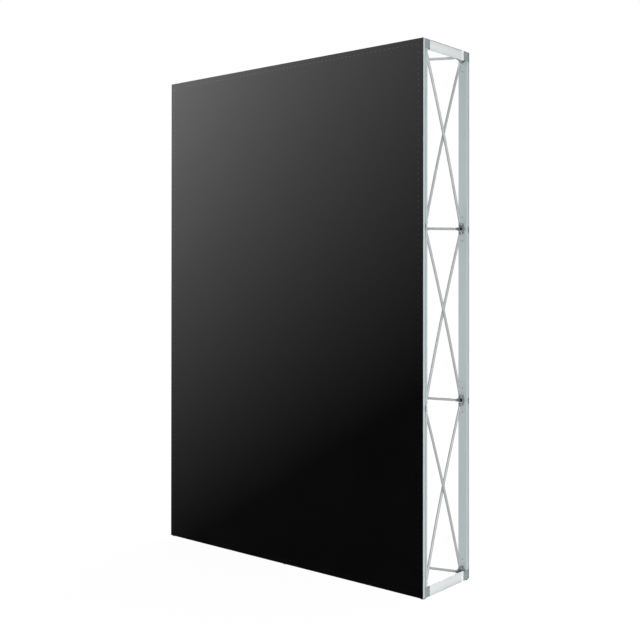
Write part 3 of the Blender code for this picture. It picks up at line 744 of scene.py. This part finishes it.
def end_bar(side, level):
    """The pale bar between two corner brackets, with a cap at both ends and a trim line."""
    sign = SIGNS[side]
    outer, low = sign * WIDTH / 2, bar_low(level)
    inner = outer - sign * END_BAR_THICKNESS
    start, end = FRONT_FRAME_REAR + FRONT_EAR + GAP, REAR_FRAME_FRONT - REAR_EAR - GAP
    first, last = start + END_BAR_FRONT_CAP, end - END_BAR_REAR_CAP
    name = f"end_bar_{side}_{level}"
    shape = bmesh.new()
    skin(shape, [[(outer - sign * u, y, low + v) for u, v in end_bar_profile()] for y in (first, last)])
    piece(name + "_profile", shape, "end_bar", "front_frame", [name], 50)
    for cap, y0, y1 in (("front", start, first), ("rear", last, end)):
        shape = add_box(bmesh.new(), (outer, y0, low), (inner, y1, low + BAR_WIDTH), 1.4 * MM, 4)
        piece(f"{name}_{cap}_cap", shape, "end_cap", "front_frame", [name])
    # One trim in two tones: darker on the top bars as painted shade, paler on the bottom bars as painted light.
    edge, inward, material = (low, 1, "trim_painted_light") if level == "bottom" else (low + BAR_WIDTH, -1, "trim")
    trim_low = (outer + sign * 0.3 * MM, first, edge - inward * 0.2 * MM)
    shape = add_box(bmesh.new(), trim_low, (inner, last, edge + inward * TRIM_HEIGHT), 0.3 * MM)
    piece(name + "_trim", shape, material, "front_frame")


# Cover


def cover_sections():
    """Insets from the cover's edge, with the depth behind its front plane at each."""
    roll, hem = RIM_ROLL, HEM_WIDTH
    rows = [(0.0, roll * 0.55), (0.25 * MM, roll * 0.30), (0.8 * MM, roll * 0.12), (1.8 * MM, 0.05 * MM)]
    rows += [(hem - 5 * MM, 0.02 * MM), (hem - 2.4 * MM, 0.1 * MM), (hem - 1.4 * MM, HEM_RISE)]
    rows += [(hem - 0.2 * MM, HEM_RISE), (hem + 0.6 * MM, 0.12 * MM), (hem + 3 * MM, HEM_RISE)]
    rows += [(hem + 9 * MM, HEM_RISE)]
    return rows


def cover_depth(x, z, sections):
    inset = min(WIDTH / 2 - abs(x), z - FRAME_LOW, FRAME_TOP - z)
    inset = max(inset, 0)
    for (a, first), (b, second) in zip(sections, sections[1:]):
        if inset <= b:
            return first + (second - first) * (inset - a) / (b - a)
    return sections[-1][1]


def cover_lines(start, end, sections):
    """Grid lines from one edge to the other: every section's inset at both ends, evenly filled between."""
    insets = [inset for inset, _ in sections]
    inner = insets[-1]
    run = end - start - 2 * inner
    count = max(1, round(run / COVER_GRID))
    middle = [start + inner + run * k / count for k in range(1, count)]
    return [*[start + i for i in insets], *middle, *[end - i for i in reversed(insets)]]


def fabric_cover():
    """The stretched cover as one sheet: rolled rim, doubled hem and the pressed seam inside it."""
    sections = cover_sections()
    xs = cover_lines(-WIDTH / 2, WIDTH / 2, sections)
    zs = cover_lines(FRAME_LOW, FRAME_TOP, sections)
    shape = bmesh.new()
    rows = [[shape.verts.new((x, COVER_FRONT + cover_depth(x, z, sections), z)) for x in xs] for z in zs]
    for lower, upper in zip(rows, rows[1:]):
        for k in range(len(xs) - 1):
            shape.faces.new([lower[k], lower[k + 1], upper[k + 1], upper[k]])
    cover = piece("cover_cloth", shape, "cover", "front_frame", ["fabric_cover"], 70)
    if cover.data.polygons[0].normal.y > 0:
        cover.data.flip_normals()
    cover.data.materials.append(MATERIALS["cover_back"])
    solid = cover.modifiers.new("thickness", "SOLIDIFY")
    solid.thickness = CLOTH_THICKNESS
    solid.offset = -1
    solid.material_offset = 1
    return cover


def cover_stitches():
    """Raised stitches along the hem's seam."""
    shape = bmesh.new()
    half = STITCH_LENGTH / 2
    thin, thick = STITCH_RADIUS * 0.6, STITCH_RADIUS * 0.75
    profile = [(0, -half), (thin, -0.8 * half), (thick, 0), (thin, 0.8 * half), (0, half)]
    y = COVER_FRONT + HEM_RISE + STITCH_RADIUS * 0.2
    for side in FRAMES["front"].sides:
        first, last = side_span(side)
        run = last - first - 2 * HEM_WIDTH
        count = round(run / STITCH_PITCH)
        for k in range(count):
            middle = side_point(side, HEM_WIDTH, first + HEM_WIDTH + run * (k + 0.5) / count, y)
            add_turned(shape, profile, facing(ALONG_Z if side in SIGNS else ALONG_X, middle), 8)
    return piece("cover_stitches", shape, "thread", "front_frame", smooth=80)


def cover_silicone():
    """The silicone edge sewn to the cover, pressed into the bars' groove."""
    shape = bmesh.new()
    y0, y1 = COVER_REAR - 0.1 * MM, FRONT_FRAME_FRONT + KEDER_DEPTH - 0.8 * MM
    near, far = KEDER_INSET + GAP, KEDER_FAR - GAP
    for side in FRAMES["front"].sides:
        first, last = side_span(side)
        low, high = side_point(side, near, first + near, y0), side_point(side, far, last - near, y1)
        add_box(shape, low, high, 0.5 * MM)
    return piece("cover_silicone_edge", shape, "silicone", "front_frame", ["fabric_cover"])


# Hubs

UPRIGHT = Matrix.Rotation(-math.pi / 2, 4, "X")


def hub_place(side, column, row):
    y = HUB_FRONT_Y if side == "front" else HUB_REAR_Y
    return Vector((COLUMNS[column] * CELL_WIDTH, y, ROW_HEIGHTS[row]))


def arm_pivot(side, column, row, way):
    return hub_place(side, column, row) + ARM_REACH * ARM_WAYS[way]


def hub_ways(column, row):
    """The ways in which a front hub has arms."""
    there = {
        "+x": column != "right",
        "-x": column != "left",
        "-z": column != "middle" and row > ROWS[0],
        "+z": column != "middle" and row < ROWS[-1],
    }
    return [way for way in there if there[way]]


def prong_outline():
    low, root = -HUB_SEAT + SEAT_THICKNESS / 2, BOSS_RISE - MM
    turns = [math.radians(-30 + 120 * k / 9) for k in range(10)]
    nose = [(ARM_REACH + PRONG_RADIUS * math.cos(t), PRONG_RADIUS * math.sin(t)) for t in turns]
    shoulder = [(BOSS_RADIUS + 0.5 * MM, PRONG_RADIUS), (BOSS_RADIUS - MM, root), (PRONG_ROOT, root)]
    return [(PRONG_ROOT, low), (ARM_REACH + SEAT_TOE / 2, low), *nose, *shoulder]


def arm_solids(angle):
    """Seat plate, two prongs and two buttresses of one arm, turned about the hub's axis."""
    seat_high = (ARM_REACH + SEAT_TOE, -HUB_SEAT + SEAT_THICKNESS, SEAT_HALF_WIDTH)
    solids = [add_box(bmesh.new(), (0, -HUB_SEAT, -SEAT_HALF_WIDTH), seat_high, 1.2 * MM, 3)]
    root = BOSS_RADIUS - 2 * MM
    buttress = [(root, -HUB_SEAT + 2 * MM), (ARM_REACH, -HUB_SEAT + 2 * MM), (ARM_REACH - 2 * MM, -8 * MM)]
    buttress += [(root, BOSS_RISE - MM)]
    prong_place = TONGUE_THICKNESS / 2 + GAP + PRONG_THICKNESS / 2
    buttress_place = SEAT_HALF_WIDTH - 1.6 * MM
    for side in (-1, 1):
        middle = Vector((0, 0, side * prong_place))
        solids.append(add_prism(bmesh.new(), prong_outline(), PRONG_THICKNESS, middle, 0.5 * MM))
        middle = Vector((0, 0, side * buttress_place))
        solids.append(add_prism(bmesh.new(), buttress, 1.4 * MM, middle, 0.3 * MM))
    for shape in solids:
        bmesh.ops.transform(shape, matrix=Matrix.Rotation(angle, 4, "Y"), verts=shape.verts)
    return solids


def hub_mesh(ways):
    """A hub about its own centre: seat face towards -Y, tubes leaving towards +Y."""
    boss = add_turned(bmesh.new(), rod_profile(BOSS_RADIUS, -HUB_SEAT, BOSS_RISE, 0.9 * MM), UPRIGHT, 48)
    floor, chamfer = BOSS_RISE - BORE_DEPTH, 0.8 * MM
    profile = [(0, floor), (BORE_RADIUS - 0.4 * MM, floor), (BORE_RADIUS, floor + 0.4 * MM)]
    profile += [(BORE_RADIUS, BOSS_RISE - chamfer), (BORE_RADIUS + chamfer, BOSS_RISE)]
    profile += [(BORE_RADIUS + chamfer, BOSS_RISE + MM), (0, BOSS_RISE + MM)]
    bore = add_turned(bmesh.new(), profile, UPRIGHT, 40)
    arms = [shape for way in ways for shape in arm_solids(ARM_ANGLES[way])]
    return fused("hub_" + "_".join(ways), [boss, *arms], [bore])


def hub_pins_mesh(ways):
    """Steel pins of the arms, with domed heads."""
    shape = bmesh.new()
    half = TONGUE_THICKNESS / 2 + GAP + PRONG_THICKNESS
    wide = PIN_RADIUS + 0.9 * MM
    low_head = [(0, -half - 0.7 * MM), (wide - 0.5 * MM, -half - 0.7 * MM), (wide, -half - 0.3 * MM)]
    low_head += [(wide, -half + 0.2 * MM), (PIN_RADIUS, -half + 0.2 * MM)]
    profile = [*low_head, *[(radius, -height) for radius, height in reversed(low_head)]]
    reach = Matrix.Translation((ARM_REACH, 0, 0))
    for way in ways:
        add_turned(shape, profile, Matrix.Rotation(ARM_ANGLES[way], 4, "Y") @ reach, 20)
    return shape_mesh("hub_pins_" + "_".join(ways), shape)


def hub_bore_shade_mesh():
    """A near-black cup inside the bore: painted shade that darkens the hole."""
    floor, rim = BOSS_RISE - BORE_DEPTH, BOSS_RISE - 0.9 * MM
    outer, inner = BORE_RADIUS - 0.05 * MM, BORE_RADIUS - 0.9 * MM
    profile = [(0, floor - 0.1 * MM), (outer, floor - 0.1 * MM), (outer, rim), (inner, rim)]
    profile += [(inner, floor + 1.5 * MM), (0, floor + 1.5 * MM)]
    return shape_mesh("hub_liner", add_turned(bmesh.new(), profile, UPRIGHT, 36))


def hub_pale_bar_mesh():
    """The spring bar across the face of the boss, under its hole. Its pale colour is partly a painted
    highlight.
    """
    half, height = 6 * MM, 1.3 * MM
    middle = -(BORE_RADIUS + 2.6 * MM)
    low, high = (-half, BOSS_RISE - 0.6 * MM, middle - height), (half, BOSS_RISE + 0.9 * MM, middle + height)
    return shape_mesh("hub_clip", add_box(bmesh.new(), low, high, 0.4 * MM))


def hub(side, column, row, meshes):
    """One hub. The lowest middle ones belong to the bodies of the front frame and of the rear posts."""
    ways = hub_ways(column, row)
    if side == "rear":
        ways = [OPPOSITE[way] for way in ways]
    key = tuple(sorted(ways))
    if key not in meshes:
        meshes[key] = (hub_mesh(key), hub_pins_mesh(key))
    turn = Matrix.Rotation(math.pi if side == "rear" else 0, 4, "Z")
    place = Matrix.Translation(hub_place(side, column, row)) @ turn
    name = f"hub_{side}_{column}_{row}"
    body = side + "_frame" if (column, row) == ("middle", 1) else name
    node = "light_ladder" if (side, column, row) == LADDER_HUB else name
    moulding, pins = meshes[key]
    piece(name + "_moulding", moulding, "hub", body, [node], place=place)
    piece(name + "_pins", pins, "steel", body, [node], place=place)
    # The near-black cup in the bore is painted shade.
    piece(name + "_liner", meshes["bore_shade"], "dark", body, place=place)
    # The spring bar is pale partly as a painted highlight.
    piece(name + "_clip", meshes["clip"], "end_cap", body, place=place)


def hubs():
    meshes = {"bore_shade": hub_bore_shade_mesh(), "clip": hub_pale_bar_mesh()}
    for side in ("front", "rear"):
        for column in COLUMNS:
            for row in ROWS:
                hub(side, column, row, meshes)


# Tubes


def tube_body_mesh(bow):
    """The aluminium tube along +X between two pin holes, bowed along Z where it passes its partner."""
    start, end = TUBE_START, TUBE_LENGTH - TUBE_START
    count = 40
    run = end - start - 2 * TUBE_LIP
    near_end = [(0, TUBE_RADIUS - 1.1 * MM), (0, TUBE_RADIUS - TUBE_LIP)]
    stations = [(start + inset, radius) for inset, radius in near_end]
    stations += [(start + TUBE_LIP + run * k / count, TUBE_RADIUS) for k in range(count + 1)]
    stations += [(end - inset, radius) for inset, radius in reversed(near_end)]
    loops = []
    for x, radius in stations:
        share = 1 - abs(2 * x / TUBE_LENGTH - 1)
        lift = bow * math.sin(share * math.pi / 2)
        loops.append([(x, across, lift + up) for across, up in circle(radius, 28)])
    shape = bmesh.new()
    skin(shape, loops)
    return shape_mesh("tube_body", shape)


def tongue_outline():
    turns = [math.radians(90 + 180 * k / 12) for k in range(13)]
    nose = [(TONGUE_RADIUS * math.cos(t), TONGUE_RADIUS * math.sin(t)) for t in turns]
    return [(TONGUE_TAIL, TONGUE_RADIUS), *nose, (TONGUE_TAIL, -TONGUE_RADIUS)]


def tube_ends_mesh(bow):
    """The moulded tongues that plug the tube's ends, drilled for the pins."""
    plate = add_prism(bmesh.new(), tongue_outline(), TONGUE_THICKNESS, Vector(), 0.4 * MM)
    lean = bow * math.sin(TUBE_START / TUBE_LENGTH * math.pi)
    profile = rod_profile(TUBE_RADIUS - MM, -1.6 * MM, 3 * MM, 0.8 * MM)
    plug = add_turned(bmesh.new(), profile, facing((1, 0, 0), (TUBE_START, 0, lean)), 28)
    profile = [(0, -4 * MM), (PIN_RADIUS + GAP, -4 * MM), (PIN_RADIUS + GAP, 4 * MM), (0, 4 * MM)]
    hole = add_turned(bmesh.new(), profile, Matrix.Identity(4), 24)
    tongue = fused("tongue", [plate, plug], [hole])
    shape = bmesh.new()
    shape.from_mesh(tongue)
    tongue.transform(Matrix.Translation((TUBE_LENGTH, 0, 0)) @ Matrix.Rotation(math.pi, 4, "Z"))
    shape.from_mesh(tongue)
    return shape_mesh("tube_ends", shape)


def crossing_rivet_mesh():
    """Rivet through a crossed pair, with a washer between the tubes and one under its head."""
    reach = TUBE_BOW + TUBE_RADIUS
    shaft, washer = 2.2 * MM, 4.6 * MM
    low, high = -reach - 0.9 * MM, reach - 0.9 * MM
    profile = [(0, low), (1.6 * MM, low), (3.2 * MM, low + 0.5 * MM), (3.4 * MM, low + 1.1 * MM)]
    profile += [(shaft, low + 1.2 * MM), (shaft, -0.25 * MM), (washer, -0.25 * MM), (washer, 0.25 * MM)]
    profile += [(shaft, 0.25 * MM), (shaft, high - 0.1 * MM), (3.4 * MM, high), (3.2 * MM, high + 0.6 * MM)]
    profile += [(1.6 * MM, high + MM), (0, high + 1.05 * MM)]
    centre = Matrix.Translation((TUBE_LENGTH / 2, 0, 0))
    return shape_mesh("crossing_rivet", add_turned(bmesh.new(), profile, centre, 24))


def tube_matrix(start, end, bow_way):
    along = (end - start).normalized()
    turn = Matrix((along, bow_way.cross(along), bow_way)).transposed().to_4x4()
    return Matrix.Translation(start) @ turn


def tube_pair(name, first, second, bow_way, meshes):
    """A crossed pair between two arms of front and rear hubs: a starts at the front, b at the rear."""
    for kind, near, far in (("a", "front", "rear"), ("b", "rear", "front")):
        place = tube_matrix(arm_pivot(near, *first), arm_pivot(far, *second), bow_way)
        node = f"{name}_{kind}"
        metal, ends = meshes[kind]
        piece(node + "_metal", metal, "tube", node, [node], 40, place)
        piece(node + "_ends", ends, "bracket", node, [node], 35, place)
        if kind == "a":
            piece(node + "_rivet", meshes["rivet"], "steel", node, [node], 35, place)


def tubes():
    bows = {"a": TUBE_BOW, "b": -TUBE_BOW}
    meshes = {kind: (tube_body_mesh(bow), tube_ends_mesh(bow)) for kind, bow in bows.items()}
    meshes["rivet"] = crossing_rivet_mesh()
    for row in ROWS:
        for column, out in (("right", "+x"), ("left", "-x")):
            arms = ("middle", row, out), (column, row, OPPOSITE[out])
            tube_pair(f"tube_row_{row}_{column}", *arms, ALONG_Z, meshes)
    for row in ROWS[:-1]:
        for column in ("right", "left"):
            arms = (column, row, "+z"), (column, row + 1, "-z")
            tube_pair(f"tube_column_{column}_{row}", *arms, -ALONG_X, meshes)


# Light ladder


def ladder_piece(name, shape, material, stands_in=True):
    """A piece of the light ladder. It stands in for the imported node, or is only a detail."""
    piece(name, shape, material, "rear_frame", ["light_ladder"] if stands_in else ())


def ladder_rails(low, high, front, rear):
    """Channelled rails with end caps."""
    half_rail = STRIP_PITCH * (STRIP_COUNT - 1) / 2 + STRIP_WIDTH / 2 + RAIL_OVERHANG
    for level, z0, z1 in (("low", low, low + RAIL_HEIGHT), ("high", high - RAIL_HEIGHT, high)):
        shape = add_box(bmesh.new(), (-half_rail, front + RAIL_LIP, z0), (half_rail, rear, z1), 0.6 * MM)
        lip_rear = front + RAIL_LIP + 0.5 * MM
        for edge0, edge1 in ((z0, z0 + 3 * MM), (z1 - 3 * MM, z1)):
            add_box(shape, (-half_rail, front, edge0), (half_rail, lip_rear, edge1), 0.5 * MM)
        ladder_piece("ladder_rail_" + level, shape, "rail")
        shape = bmesh.new()
        for x, way in ((-half_rail, 1), (half_rail, -1)):
            add_box(shape, (x, front - 0.1 * MM, z0), (x + way * LADDER_CAP, rear, z1), 0.9 * MM, 3)
        ladder_piece("ladder_rail_caps_" + level, shape, "bracket", False)


def ladder_strips(start, end, rear):
    """Upright strips: aluminium tray, and a row of lensed lights facing the cover."""
    half, depth, wall = STRIP_WIDTH / 2, STRIP_THICKNESS, STRIP_WALL
    outline = [(-half, 0), (half, 0), (half, depth), (half - wall, depth), (half - wall, wall)]
    outline += [(wall - half, wall), (wall - half, depth), (-half, depth)]
    for number in range(1, STRIP_COUNT + 1):
        x = (number - (STRIP_COUNT + 1) / 2) * STRIP_PITCH
        shape = bmesh.new()
        skin(shape, [[(x + u, rear - v, z) for u, v in outline] for z in (start, end)])
        ladder_piece(f"light_strip_{number}", shape, "strip")
        strip_lights(number, x, start, end, rear - wall)


def strip_lights(number, x, start, end, back):
    """Circuit board, light bases and their lenses along one strip."""
    board, bases, lenses = bmesh.new(), bmesh.new(), bmesh.new()
    face, half = back - BOARD_THICKNESS, BOARD_WIDTH / 2
    add_box(board, (x - half, face, start + BOARD_INSET), (x + half, back - 0.02 * MM, end - BOARD_INSET))
    count = int((end - start - 2 * LED_FROM_END) / LED_PITCH)
    profile = [(0, -0.2 * MM), (3.6 * MM, -0.2 * MM), (3.6 * MM, 0.2 * MM), (3.2 * MM, 0.8 * MM)]
    profile += [(2.2 * MM, 1.2 * MM), (1.1 * MM, 1.3 * MM), (0, 1.25 * MM)]
    for k in range(count):
        spot = Vector((x, face, (start + end) / 2 + (k - (count - 1) / 2) * LED_PITCH))
        add_block(bases, spot - Vector((0, 0.4 * MM, 0)), Vector((8.8, 1.0, 8.8)) * MM, 0.3 * MM)
        add_turned(lenses, profile, facing((0, -1, 0), spot - Vector((0, 0.9 * MM, 0))), 20)
        for offset in (-RESISTOR_PLACE, RESISTOR_PLACE):
            add_block(bases, spot + Vector((0, -0.2 * MM, offset)), Vector((3.2, 0.6, 1.6)) * MM)
    ladder_piece(f"light_board_{number}", board, "strip", False)
    ladder_piece(f"light_bases_{number}", bases, "driver", False)
    ladder_piece(f"light_lenses_{number}", lenses, "lens", False)


def ladder_driver(low, front):
    """The driver's case with cooling ribs, end plates and its inlet."""
    width, thickness, height = DRIVER_SIZE
    middle = Vector((DRIVER_PLACE, front + thickness / 2, low + height / 2))
    case = add_block(bmesh.new(), middle, DRIVER_SIZE - Vector((8, 1.6, 1.2)) * MM, MM, 3)
    rib = Vector((width - 20 * MM, 1.2 * MM, 1.6 * MM))
    ends = bmesh.new()
    for way in (-1, 1):
        for k in range(1, DRIVER_RIBS + 1):
            lift = (k / (DRIVER_RIBS + 1) - 0.5) * height
            add_block(case, middle + Vector((0, way * (thickness / 2 - 0.9 * MM), lift)), rib, 0.3 * MM)
        plate = middle + Vector((way * (width - LADDER_CAP) / 2, 0, 0))
        add_block(ends, plate, (LADDER_CAP, thickness, height), MM, 3)
        for lift in (-0.3 * height, 0.3 * height):
            spot = middle + Vector((way * (width / 2 - 0.5 * MM), 0, lift))
            add_turned(ends, dome_profile(2.2 * MM, 0, 0.5 * MM), facing((way, 0, 0), spot), 16)
    ladder_piece("ladder_driver_case", case, "driver")
    ladder_piece("ladder_driver_ends", ends, "bracket")
    inlet_middle = middle - Vector(((width + INLET_SIZE.x) / 2, 0, 0))
    ladder_piece("ladder_driver_inlet", add_block(bmesh.new(), inlet_middle, INLET_SIZE, MM, 3), "dark")


def light_ladder():
    front, rear = REAR_FRAME_FRONT, REAR_FRAME_FRONT + RAIL_THICKNESS
    low, high = ROW_HEIGHTS[ROWS[0]], ROW_HEIGHTS[ROWS[-1]]
    ladder_rails(low - RAIL_HEIGHT / 2, high + RAIL_HEIGHT / 2, front, rear)
    ladder_strips(low, high, rear - (RAIL_THICKNESS - STRIP_THICKNESS) / 2)
    ladder_driver(low, front + BAR_WALL / 2)


# Stage, light and camera


def seen_rays(tree):
    """1 for the rays that show a surface to the camera, from Light Path."""
    path = add_node(tree, "LightPath", {}).outputs
    total = path["Is Camera Ray"]
    for name in ("Is Glossy Ray", "Is Transmission Ray"):
        total = add_node(tree, "Math", {0: total, 1: path[name]}, operation="MAXIMUM").outputs["Value"]
    return total


def studio_world():
    """White to the eye and in reflections; a dimmer fill, weakest from the front, lights the wall."""
    world = bpy.data.worlds.new("studio")
    bpy.context.scene.world = world
    world.use_nodes = True
    tree = world.node_tree
    tree.nodes.clear()
    place = add_node(tree, "TexCoord", {}).outputs["Generated"]
    to_rear = add_node(tree, "SeparateXYZ", {"Vector": place}).outputs["Y"]
    span = {"Value": to_rear, "From Min": -0.05, "From Max": 0.35, "To Min": 0.0, "To Max": 0.85}
    ramp = add_node(tree, "MapRange", span, interpolation_type="SMOOTHSTEP").outputs["Result"]
    mix_inputs = {"Fac": seen_rays(tree)}
    for number, strength in ((1, ramp), (2, 1.0)):
        light = add_node(tree, "Background", {"Color": (1, 1, 1, 1), "Strength": strength})
        mix_inputs[number] = light.outputs["Background"]
    mix = add_node(tree, "MixShader", mix_inputs)
    add_node(tree, "OutputWorld", {"Surface": mix.outputs["Shader"]})


def studio_floor():
    """A large pale floor that takes the wall's shadow and reads as white."""
    shape = bmesh.new()
    bmesh.ops.create_grid(shape, x_segments=1, y_segments=1, size=12)
    mesh = bpy.data.meshes.new("floor")
    shape.to_mesh(mesh)
    shape.free()
    paper = Shading("floor_paper", (0.05, 0.05, 0.05), 0.9, Specular_IOR_Level=0.0)
    paper.feed(Emission_Color=(1, 1, 1, 1))
    glow = paper.add("Math", {0: seen_rays(paper.tree), 1: 0.975}, "Value", operation="MULTIPLY")
    paper.feed(Emission_Strength=glow)
    mesh.materials.append(paper.material)
    placed("studio_floor", mesh)


def soft_lamp(name, place, target, size, power):
    """A square soft lamp that faces a point."""
    data = bpy.data.lights.new(name, "AREA")
    data.shape = "SQUARE"
    data.size = size
    data.energy = power
    lamp = placed(name, data)
    lamp.location = place
    lamp.rotation_mode = "QUATERNION"
    lamp.rotation_quaternion = (Vector(target) - Vector(place)).to_track_quat("-Z", "Y")
    lamp.visible_camera = False
    return lamp


def spare(lamp, items):
    """Keep the light of a lamp off some pieces."""
    spared = bpy.data.collections.new("spared_by_" + lamp.name)
    lamp.light_linking.receiver_collection = spared
    for number, item in enumerate(items):
        spared.objects.link(item)
        spared.collection_objects[number].light_linking.link_state = "EXCLUDE"


def studio_lamps(cloth):
    """The key is high at the front left, turned away so that only its edge falls on the cover.

    It leaves the rear posts alone. The others leave the cloth alone: the fill at the front right lights
    the metal of the open end, the bounce on the floor its undersides. The last one lights the back.
    """
    posts = [item for item in bpy.context.scene.objects if item.name.startswith("rear_")]
    spared = {"key": posts, "fill": cloth, "bounce": cloth}
    for name, settings in LAMPS.items():
        lamp = soft_lamp(name, *settings)
        if name in spared:
            spare(lamp, spared[name])


def studio_camera():
    data = bpy.data.cameras.new("camera")
    data.sensor_width = SENSOR
    data.lens = FOCAL_PIXELS / PHOTO_SIZE * SENSOR
    data.shift_y = (AXIS_PIXEL_Y - PHOTO_SIZE / 2) / PHOTO_SIZE
    camera = placed("camera", data)
    turn = Matrix.Rotation(CAMERA_YAW, 4, "Z") @ Matrix.Rotation(math.pi / 2 + CAMERA_PITCH, 4, "X")
    camera.matrix_world = Matrix.Translation(CAMERA_PLACE) @ turn @ Matrix.Rotation(CAMERA_ROLL, 4, "Z")
    bpy.context.scene.camera = camera


def main():
    bpy.context.scene.view_settings.view_transform = "Standard"
    channel_frames()
    for side in SIGNS:
        for level in LEVELS:
            end_bar(side, level)
    cover = fabric_cover()
    stitches = cover_stitches()
    silicone = cover_silicone()
    hubs()
    tubes()
    light_ladder()
    studio_world()
    studio_floor()
    studio_lamps([cover, stitches])
    studio_camera()


main()
